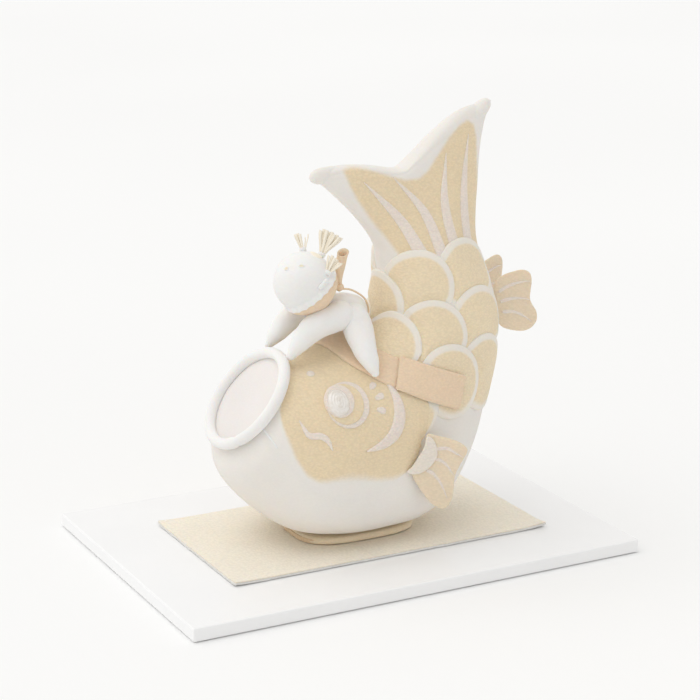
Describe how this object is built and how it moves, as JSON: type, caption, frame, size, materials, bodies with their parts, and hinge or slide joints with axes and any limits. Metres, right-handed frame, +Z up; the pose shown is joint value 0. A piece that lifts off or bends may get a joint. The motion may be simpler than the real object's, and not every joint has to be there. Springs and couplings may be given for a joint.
{
  "type": "padded carp ornament with child rider",
  "caption": "Padded crepe carp with an open ringed mouth and a raised tail, ridden by a small doll, on a plinth, a mat and a flat display plate.",
  "frame": {"origin": "middle of the display plate's underside", "axes": "+X from the carp's mouth to its back along the plate's long side, -Y to the side that faces the room, +Z up"},
  "size_m": [0.3, 0.21, 0.271],
  "materials": {
    "acrylic": "polished",
    "card": "matte",
    "mat_crepe": "matte",
    "wood": "satin",
    "wadding": "matte",
    "lining": "matte",
    "face_crepe": "matte",
    "pearl": "satin",
    "white_crepe": "matte",
    "scale_crepe": "matte",
    "fin_crepe": "matte",
    "peach_crepe": "matte",
    "straw": "matte"
  },
  "bodies": {
    "display_plate": {"display_plate": "acrylic"},
    "mat": {"mat_card": "card", "mat_cloth": "mat_crepe"},
    "carp": {"back_cord": "peach_crepe", "barbel_far": "white_crepe", "barbel_near": "white_crepe", "bib": "peach_crepe", "bib_bow_loop": "peach_crepe", "carp_core": "wadding", "carp_cover": "white_crepe", "doll_arm_far": "white_crepe", "doll_arm_near": "white_crepe", "doll_leg_far": "white_crepe", "doll_leg_near": "white_crepe", "doll_torso": "white_crepe", "eye_disc_inner_far": "white_crepe", "eye_disc_inner_near": "white_crepe", "eye_disc_outer_far": "face_crepe", "eye_disc_outer_near": "face_crepe", "eye_pearl_far": "pearl", "eye_pearl_near": "pearl", "fixing_dowel": "wood", "gill_crescent_far": "white_crepe", "gill_crescent_near": "white_crepe", "head_cover": "face_crepe", "mouth_lining": "lining", "mouth_ring": "white_crepe", "neck_peg": "wood", "plinth_board": "wood", "plinth_cloth": "mat_crepe", "sash_ribbon": "peach_crepe", "scale_a_far": "scale_crepe", "scale_a_near": "scale_crepe", "scale_b_far": "scale_crepe", "scale_b_near": "scale_crepe", "scale_c_back": "scale_crepe", "scale_d_far": "scale_crepe", "scale_d_near": "scale_crepe", "scale_e_far": "scale_crepe", "scale_e_near": "scale_crepe", "scale_f_far": "scale_crepe", "scale_f_near": "scale_crepe", "scale_g_far": "scale_crepe", "scale_g_near": "scale_crepe", "scale_h_far": "scale_crepe", "scale_h_near": "scale_crepe", "scale_i_far": "white_crepe", "scale_i_near": "white_crepe"},
    "doll_head": {"doll_head": "white_crepe", "hair_tuft_left": "straw", "hair_tuft_crown": "straw", "hair_tuft_side": "straw"},
    "pectoral_near": {"pectoral_fin_near": "fin_crepe", "pectoral_root_near": "white_crepe"},
    "pectoral_far": {"pectoral_fin_far": "fin_crepe", "pectoral_root_far": "white_crepe"},
    "pelvic_near": {"pelvic_fin_near": "fin_crepe"},
    "pelvic_far": {"pelvic_fin_far": "fin_crepe"}
  },
  "joints": [
    {"name": "mat_lift", "type": "slide", "parent": "display_plate", "child": "mat", "axis": [0, 0, 1], "range_m": [0, 0.15]},
    {"name": "carp_lift", "type": "slide", "parent": "mat", "child": "carp", "axis": [0, 0, 1], "range_m": [0, 0.15]},
    {"name": "head_turn", "type": "hinge", "parent": "carp", "child": "doll_head", "pos_m": [-0.02001, -0.00616, 0.15817], "axis": [-0.6516, -0.1003, 0.7519], "range_deg": [-35, 15]},
    {"name": "pectoral_flex_near", "type": "hinge", "parent": "carp", "child": "pectoral_near", "pos_m": [0.0119, -0.05878, 0.07003], "axis": [0, 0, -1], "range_deg": [-5, 20], "stiffness_Nm_per_rad": 0.02},
    {"name": "pelvic_flex_near", "type": "hinge", "parent": "carp", "child": "pelvic_near", "pos_m": [0.09993, -0.01323, 0.1451], "axis": [0, 0, -1], "range_deg": [-5, 20], "stiffness_Nm_per_rad": 0.02},
    {"name": "pectoral_flex_far", "type": "hinge", "parent": "carp", "child": "pectoral_far", "pos_m": [0.0119, 0.05079, 0.07003], "axis": [0, 0, 1], "range_deg": [-5, 20], "stiffness_Nm_per_rad": 0.02},
    {"name": "pelvic_flex_far", "type": "hinge", "parent": "carp", "child": "pelvic_far", "pos_m": [0.09889, 0.00642, 0.14865], "axis": [0, 0, 1], "range_deg": [-5, 20], "stiffness_Nm_per_rad": 0.02}
  ]
}
